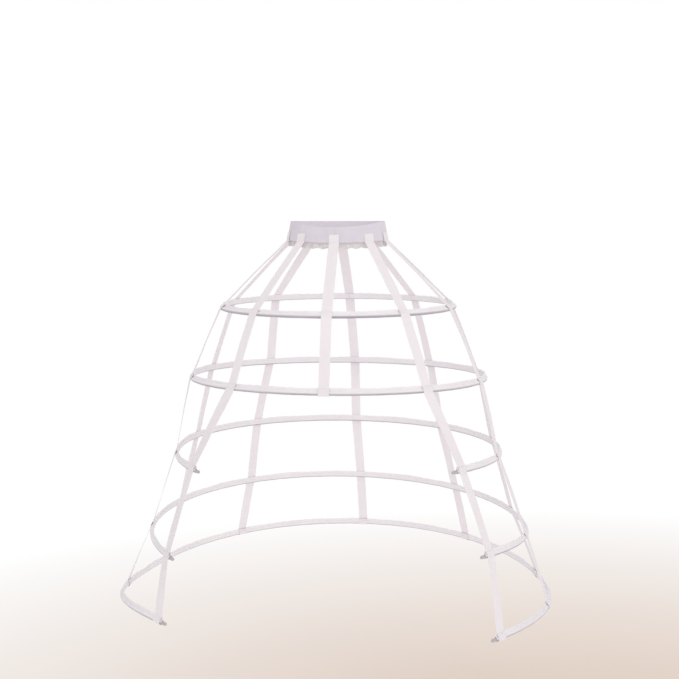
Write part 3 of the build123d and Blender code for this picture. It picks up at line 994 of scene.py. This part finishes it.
def floor_material():
    """The camera sees a floor that fades to white, and the object is lit by it evenly."""
    material = bpy.data.materials.new("pale_floor")
    material.use_nodes = True
    tree = material.node_tree
    nodes, links = tree.nodes, tree.links
    bsdf = nodes["Principled BSDF"]
    bsdf.inputs["Roughness"].default_value = 0.85
    bsdf.inputs["Base Color"].default_value = FLOOR_COLOUR
    bsdf.inputs["Specular IOR Level"].default_value = 0.1
    coords = nodes.new("ShaderNodeTexCoord")
    distance = nodes.new("ShaderNodeVectorMath")
    distance.operation = "DISTANCE"
    links.new(coords.outputs["Object"], distance.inputs[0])
    distance.inputs[1].default_value = FLOOR_DARKEST
    fade = nodes.new("ShaderNodeMapRange")
    fade.inputs["From Min"].default_value = FADE_START
    fade.inputs["From Max"].default_value = FADE_END
    links.new(distance.outputs["Value"], fade.inputs["Value"])
    white = coloured(nodes, "ShaderNodeEmission", (1, 1, 1, 1), 1.0)
    shown = mixed(tree, fade.outputs["Result"], bsdf.outputs[0], white)
    dim = coloured(nodes, "ShaderNodeEmission", (0.97, 0.96, 1.0, 1), LIGHT_FROM_BELOW)
    surface = mixed(tree, camera_ray(tree), dim, shown)
    links.new(surface, nodes["Material Output"].inputs["Surface"])
    return material


def build_stage():
    mesh = bpy.data.meshes.new("floor")
    ways = ((-1, -1), (1, -1), (1, 1), (-1, 1))
    corners = [(x * FLOOR_REACH, y * FLOOR_REACH, 0) for x, y in ways]
    mesh.from_pydata(corners, [], [(0, 1, 2, 3)])
    mesh.materials.append(floor_material())
    floor = add_object("floor", mesh)
    floor.location = (0, 0, FLOOR_LEVEL)

    world = bpy.data.worlds.new("studio")
    bpy.context.scene.world = world
    world.use_nodes = True
    tree = world.node_tree
    tree.nodes.clear()
    white = coloured(tree.nodes, "ShaderNodeBackground", (1, 1, 1, 1), 1.0)
    room = coloured(tree.nodes, "ShaderNodeBackground", (0.97, 0.98, 1.0, 1), LIGHT_FROM_ROOM)
    output = tree.nodes.new("ShaderNodeOutputWorld")
    tree.links.new(mixed(tree, camera_ray(tree), room, white), output.inputs["Surface"])

    for name, place, size, power, colour in SOFT_LIGHTS:
        light = bpy.data.lights.new(name, "AREA")
        light.shape = "SQUARE"
        light.size = size
        light.energy = power
        light.color = colour
        lamp = add_object(name, light)
        lamp.location = place
        aim = Vector((0, 0, -0.5)) - Vector(place)
        lamp.rotation_euler = aim.to_track_quat("-Z", "Y").to_euler()

    front = bpy.data.lights.new("front", "SUN")
    front.energy = FRONT_LIGHT
    front.angle = radians(FRONT_SPREAD)
    lamp = add_object("front", front)
    lamp.rotation_euler = Vector(FRONT_DIRECTION).to_track_quat("-Z", "Y").to_euler()


build_stage()


# Camera at the photograph's place, from the fit of the hoops

CAMERA_TURN, CAMERA_PITCH = radians(5.2), radians(5.36)
CAMERA_DISTANCE, CAMERA_HEIGHT = 3.058, -0.014

camera_data = bpy.data.cameras.new("camera")
camera_data.sensor_width = 36.0
camera_data.lens = 63.86
camera_data.shift_x = 0.00253
camera_data.clip_start, camera_data.clip_end = 0.05, 200.0
camera = add_object("camera", camera_data)
camera.location = (
    CAMERA_DISTANCE * sin(CAMERA_TURN), -CAMERA_DISTANCE * cos(CAMERA_TURN), CAMERA_HEIGHT
)
aim = Vector((0, 0, CAMERA_HEIGHT - CAMERA_DISTANCE * tan(CAMERA_PITCH)))
camera.rotation_euler = (aim - camera.location).to_track_quat("-Z", "Y").to_euler()
bpy.context.scene.camera = camera

bpy.context.scene.view_settings.view_transform = "Standard"
